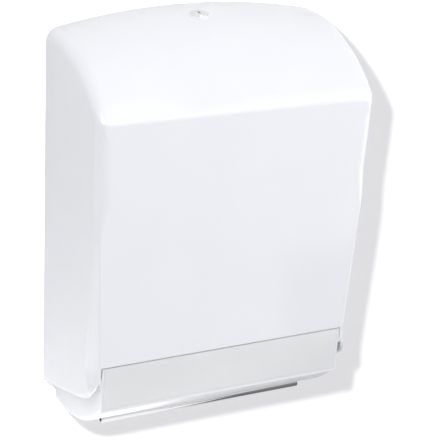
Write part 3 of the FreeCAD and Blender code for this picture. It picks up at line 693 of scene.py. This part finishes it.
def make_ears():
    """Round lugs inside the hood's lower front corners, bored for the hinge bushes."""
    turn = np.linspace(0, 2 * math.pi, EAR_STEPS, endpoint=False)
    sideways = np.array([1.0, 0, 0])
    for side in (-1, 1):
        rings = []
        for radius, outer in ((EAR_BORE, False), (EAR_RADIUS, False), (EAR_RADIUS, True),
                              (EAR_BORE, True)):
            ring = np.zeros((EAR_STEPS, 3))
            ring[:, 0] = MOUTH_HALF_WIDTH
            ring[:, 1] = HINGE[0] + radius * np.cos(turn)
            ring[:, 2] = HINGE[1] + radius * np.sin(turn)
            if outer:
                skin = shoot(ring, np.broadcast_to(sideways, ring.shape), EAR_REACH)
                ring[:, 0] = skin[:, 0] - HOOD_WALL / 2
            rings.append(ring)
        points = np.concatenate(rings + [rings[0]]) * [side, -1, 1]
        faces = grid_faces(5, EAR_STEPS, wrap=True)
        if side > 0:
            faces = [face[::-1] for face in faces]
        name = "hinge_ear_right" if side > 0 else "hinge_ear_left"
        piece = add_piece(name, points, faces, HOOD_WHITE, "hood")
        piece.data.set_sharp_from_angle(angle=math.radians(35))


make_lock_boss()
make_lock_plug()
make_ears()


# ---------------------------------------------------------------- window and its frame
def face_loop(half_width, bottom, top, back):
    """Four corners of a rectangle parallel to the hood's face, back mm behind it."""
    corners = [(-half_width, bottom), (half_width, bottom), (half_width, top),
               (-half_width, top)]
    return [(x, -(front_depth(z) - FRAME_RECESS - back), z) for x, z in corners]


def loop_piece(name, loops, material, capped):
    """Skin over a row of four-cornered loops: capped at both ends, or joined end to end."""
    points = [corner for loop in loops for corner in loop]
    faces = grid_faces(len(loops), 4, wrap=True)
    last = 4 * (len(loops) - 1)
    if capped:
        faces += [(3, 2, 1, 0), (last, last + 1, last + 2, last + 3)]
    else:
        faces += [(last + c, last + (c + 1) % 4, (c + 1) % 4, c) for c in range(4)]
        faces = [face[::-1] for face in faces]
    piece = add_piece(name, points, faces, material, "wall_unit")
    piece.data.set_sharp_from_angle(angle=math.radians(25))
    return piece


def make_window_frame():
    """Frame with a rounded outer edge and a ledge behind the window."""
    half = FRAME_HALF_WIDTH - FRAME_STILE
    bottom = FRAME_BOTTOM_Z + FRAME_RAIL
    top = FRAME_TOP_Z - FRAME_HEAD
    seat = WINDOW_THICK + WINDOW_BACK_GAP
    soft, soft_depth = FRAME_EDGE
    loops = [face_loop(half - LEDGE, bottom + LEDGE, top - LEDGE, FRAME_THICK),
             face_loop(half - LEDGE, bottom + LEDGE, top - LEDGE, seat),
             face_loop(half, bottom, top, seat),
             face_loop(half, bottom, top, soft_depth),
             face_loop(half + soft, bottom - soft, top + soft, 0)]
    edge = FRAME_STILE * 0.6
    small = FRAME_HEAD * 0.5
    for turn in np.radians(np.linspace(0, 90, 7)):
        out = math.sin(turn)
        back = 1 - math.cos(turn)
        loops.append([
            (side * (FRAME_HALF_WIDTH - edge * (1 - out)),
             -(front_depth(z) - FRAME_RECESS - radius * back), z)
            for side, radius, z in ((-1, edge, FRAME_BOTTOM_Z + edge * (1 - out)),
                                    (1, edge, FRAME_BOTTOM_Z + edge * (1 - out)),
                                    (1, small, FRAME_TOP_Z - small * (1 - out)),
                                    (-1, small, FRAME_TOP_Z - small * (1 - out)))])
    loops.append(face_loop(FRAME_HALF_WIDTH, FRAME_BOTTOM_Z, FRAME_TOP_Z, FRAME_THICK))
    frame_piece = loop_piece("window_frame_skin", loops, BODY_WHITE, False)
    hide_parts("window_frame")


def make_sight_window():
    """Sheet with softened edges."""
    half = FRAME_HALF_WIDTH - FRAME_STILE - WINDOW_GAP
    bottom = FRAME_BOTTOM_Z + FRAME_RAIL + WINDOW_GAP
    top = FRAME_TOP_Z - FRAME_HEAD - WINDOW_GAP
    loops = [face_loop(half, bottom, top, WINDOW_THICK)]
    for turn in np.radians(np.linspace(90, 0, 4)):
        inset = WINDOW_EDGE * (1 - math.sin(turn))
        loops.append(face_loop(half - inset, bottom + inset, top - inset,
                               WINDOW_EDGE * (1 - math.cos(turn))))
    window = loop_piece("sight_window_sheet", loops, WINDOW, True)
    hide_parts("sight_window")


make_window_frame()
make_sight_window()


# ---------------------------------------------------------------- wall, lights, camera
# From here on lengths are in metres.
# Right half of the opening in the wall's sheets, just inside the object's outline, from
# the lowest point up, as (x, z). The sheets reach SHEET_SPREAD times as far.
WALL_OPENING = [(0.0, -0.2), (0.127, -0.2), (0.131, -0.18), (0.142, -0.176), (0.142, 0.188),
                (0.13, 0.194), (0.0, 0.2)]
SHEET_SPREAD = 20
GLOW_TINT = (0.98, 0.97, 1, 1)
# Both sheets: name, y, matte colour, glow.
BACKDROP = ("backdrop", 0.0004, (0.4, 0.4, 0.4, 1), 0.54)
WALL = ("wall", 0.0006, (0.8, 0.8, 0.8, 1), 0.0)

# Cards that the lip mirrors: name, corners, glow.
DARK_CARD_Z, WHITE_CARD_Z, FRONT_CARD_Y = -0.235, -0.240, -0.15
LIP_CARDS = [
    ("dark_card", [(x, y, DARK_CARD_Z) for x, y in (
        (-0.09, -0.005), (0.36, -0.005), (0.40, -0.50), (0.27, -0.50), (0.14, -0.22),
        (-0.02, -0.06), (-0.09, -0.02))], 0.19),
    ("white_card", [(x, y, WHITE_CARD_Z) for x, y in (
        (-0.25, -0.005), (0.16, -0.005), (0.16, -0.25), (-0.25, -0.25))], 1.4),
    ("front_card", [(x, FRONT_CARD_Y, z) for x, z in (
        (-0.04, -0.235), (0.20, -0.235), (0.20, -0.170), (0.13, -0.172))], 0.3),
]

# Softboxes: name, place, target, size, watts.
SOFTBOXES = [
    ("top_left", (-0.9, -1.2, 1.6), (0, -0.08, 0), (0.8, 0.8), 20.0),
    ("top_front", (0.2, -1.1, 1.7), (0, -0.08, 0), (1.0, 0.7), 2.2),
    ("front_right", (1.5, -1.4, 0.2), (0, -0.08, 0), (1.0, 1.2), 16.6),
    ("right", (1.9, -0.5, 0), (0, -0.08, 0), (0.8, 1.4), 3.7),
    ("low_left", (-1.6, -0.33, -0.92), (0, -0.08, 0), (0.7, 0.7), 0.9),
    ("under_left", (-0.35, -0.10, -0.60), (-0.145, -0.06, -0.1), (0.3, 0.2), 2.1),
    ("strip", (0.924, -1.364, 1.582), (0, -0.13, 0.13), (1.6, 0.42), 3.1),
    ("behind", (0.5, 1.6, 0.5), (0, 0, 0), (1.2, 1.2), 9.0),
]
# The small lamp that casts the object's shadow on the backdrop, in the same order.
SHADOW_LAMP = ("shadow_lamp", (-0.61, -0.985, 0.59), (0, 0, 0), (0.07, 0.07), 46.0)

LIGHT_FROM_BELOW = (0.62, 0.626, 0.64)
LIGHT_FROM_ABOVE = (0.306, 0.31, 0.318)
LIGHT_BLEND = (-0.15, 0.15)            # heights between which one turns into the other

# Camera fitted to the photograph's edges.
CAMERA_PLACE = (-0.6589, -1.3919, 0.6013)
CAMERA_YAW, CAMERA_PITCH, CAMERA_ROLL = 27.02, 21.95, 2.954     # degrees
SENSOR_WIDTH = 36.0
LENS = 1600.0 * SENSOR_WIDTH / 440.0   # focal length and picture width in pixels


def one_sided(tree, shader):
    """Output that shows the shader from the front and is clear from behind, so that the
    object's back can be seen."""
    out = tree.nodes.new("ShaderNodeOutputMaterial")
    clear = tree.nodes.new("ShaderNodeBsdfTransparent")
    geometry = tree.nodes.new("ShaderNodeNewGeometry")
    faced = tree.nodes.new("ShaderNodeMixShader")
    tree.links.new(geometry.outputs["Backfacing"], faced.inputs[0])
    tree.links.new(shader, faced.inputs[1])
    tree.links.new(clear.outputs[0], faced.inputs[2])
    tree.links.new(faced.outputs[0], out.inputs["Surface"])


def sheet_object(name, points, faces, material):
    mesh = bpy.data.meshes.new(name)
    mesh.from_pydata(points, [], faces)
    mesh.materials.append(material)
    return put_in_scene(bpy.data.objects.new(name, mesh))


def wall_sheet(name, y, colour, glow):
    """Upright sheet from a matte colour and a steady glow, open behind the object so that
    light reaches the object's back."""
    mat = bpy.data.materials.new(name)
    tree = empty_tree(mat)
    diffuse = tree.nodes.new("ShaderNodeBsdfDiffuse")
    diffuse.inputs["Color"].default_value = colour
    emission = tree.nodes.new("ShaderNodeEmission")
    emission.inputs["Color"].default_value = GLOW_TINT
    emission.inputs["Strength"].default_value = glow
    both = tree.nodes.new("ShaderNodeAddShader")
    tree.links.new(diffuse.outputs[0], both.inputs[0])
    tree.links.new(emission.outputs[0], both.inputs[1])
    one_sided(tree, both.outputs[0])
    rim = WALL_OPENING + [(-x, z) for x, z in WALL_OPENING[-2:0:-1]]
    count = len(rim)
    points = [(x, y, z) for x, z in rim]
    points += [(x * SHEET_SPREAD, y, z * SHEET_SPREAD) for x, z in rim]
    faces = [(c, count + c, count + (c + 1) % count, (c + 1) % count) for c in range(count)]
    sheet = sheet_object(name, points, faces, mat)
    return sheet


def make_walls():
    """The white backdrop that only the camera sees, and behind it the wall that the
    object's light bounces off, which the camera doesn't see. Returns the backdrop."""
    backdrop = wall_sheet(*BACKDROP)
    backdrop.visible_diffuse = False
    backdrop.visible_glossy = False
    backdrop.visible_transmission = False
    backdrop.visible_shadow = False
    wall_sheet(*WALL).visible_camera = False
    return backdrop


def area_light(name, place, target, size, power):
    data = bpy.data.lights.new(name, "AREA")
    data.shape = "RECTANGLE"
    data.size, data.size_y = size
    data.energy = power
    light = bpy.data.objects.new(name, data)
    light.location = place
    aim = Vector(target) - Vector(place)
    light.rotation_euler = aim.to_track_quat("-Z", "Y").to_euler()
    return put_in_scene(light)


def link_lamp(lamp, things, state):
    """Let a lamp light only these things, or everything but them."""
    group = bpy.data.collections.new(lamp.name + "_lit")
    for thing in things:
        group.objects.link(thing)
    lamp.light_linking.receiver_collection = group
    for member in group.collection_objects:
        member.light_linking.link_state = state


def reflection_card(name, corners, strength):
    """Flat glowing card that shows only as a reflection."""
    mat = bpy.data.materials.new(name)
    tree = empty_tree(mat)
    out = tree.nodes.new("ShaderNodeOutputMaterial")
    glow = tree.nodes.new("ShaderNodeEmission")
    glow.inputs["Strength"].default_value = strength
    tree.links.new(glow.outputs[0], out.inputs["Surface"])
    card = sheet_object(name, corners, [tuple(range(len(corners)))], mat)
    card.visible_camera = False
    card.visible_diffuse = False
    card.visible_transmission = False
    card.visible_shadow = False


def make_world():
    """Pale studio light from all round. Plain white to the camera, in reflections and
    through the window."""
    world = bpy.data.worlds.new("studio")
    bpy.context.scene.world = world
    tree = empty_tree(world)
    out = tree.nodes.new("ShaderNodeOutputWorld")
    coord = tree.nodes.new("ShaderNodeTexCoord")
    split = tree.nodes.new("ShaderNodeSeparateXYZ")
    tree.links.new(coord.outputs["Generated"], split.inputs[0])
    colour = ramp(tree, split.outputs["Z"], LIGHT_FROM_BELOW, LIGHT_FROM_ABOVE, *LIGHT_BLEND)
    studio = tree.nodes.new("ShaderNodeBackground")
    tree.links.new(colour, studio.inputs["Color"])
    white = tree.nodes.new("ShaderNodeBackground")
    white.inputs["Color"].default_value = (1, 1, 1, 1)
    path = tree.nodes.new("ShaderNodeLightPath")
    looked_at = path.outputs["Is Camera Ray"]
    for kind in ("Is Glossy Ray", "Is Transmission Ray"):
        either = tree.nodes.new("ShaderNodeMath")
        either.operation = "MAXIMUM"
        tree.links.new(looked_at, either.inputs[0])
        tree.links.new(path.outputs[kind], either.inputs[1])
        looked_at = either.outputs[0]
    seen = tree.nodes.new("ShaderNodeMixShader")
    tree.links.new(looked_at, seen.inputs[0])
    tree.links.new(studio.outputs[0], seen.inputs[1])
    tree.links.new(white.outputs[0], seen.inputs[2])
    tree.links.new(seen.outputs[0], out.inputs["Surface"])


def make_camera():
    """Camera at CAMERA_PLACE, turned right by the yaw, down by the pitch, then rolled."""
    yaw, pitch = math.radians(CAMERA_YAW), math.radians(CAMERA_PITCH)
    roll = math.radians(CAMERA_ROLL)
    view = Vector((math.sin(yaw) * math.cos(pitch), math.cos(yaw) * math.cos(pitch),
                   -math.sin(pitch)))
    right = Vector((math.cos(yaw), -math.sin(yaw), 0))
    up = right.cross(view)
    x = right * math.cos(roll) + up * math.sin(roll)
    y = up * math.cos(roll) - right * math.sin(roll)
    data = bpy.data.cameras.new("camera")
    data.sensor_width = SENSOR_WIDTH
    data.lens = LENS
    camera = bpy.data.objects.new("camera", data)
    turn = Matrix((x, y, -view)).transposed().to_4x4()
    camera.matrix_world = Matrix.Translation(CAMERA_PLACE) @ turn
    bpy.context.scene.camera = put_in_scene(camera)


backdrop = make_walls()
make_world()
make_camera()
for softbox in SOFTBOXES:
    link_lamp(area_light(*softbox), [backdrop, nodes["outlet_lip"]], "EXCLUDE")
for card in LIP_CARDS:
    reflection_card(*card)
shadow_lamp = area_light(*SHADOW_LAMP)
shadow_lamp.visible_camera = False
link_lamp(shadow_lamp, [backdrop], "INCLUDE")

bpy.context.scene.view_settings.view_transform = "Standard"
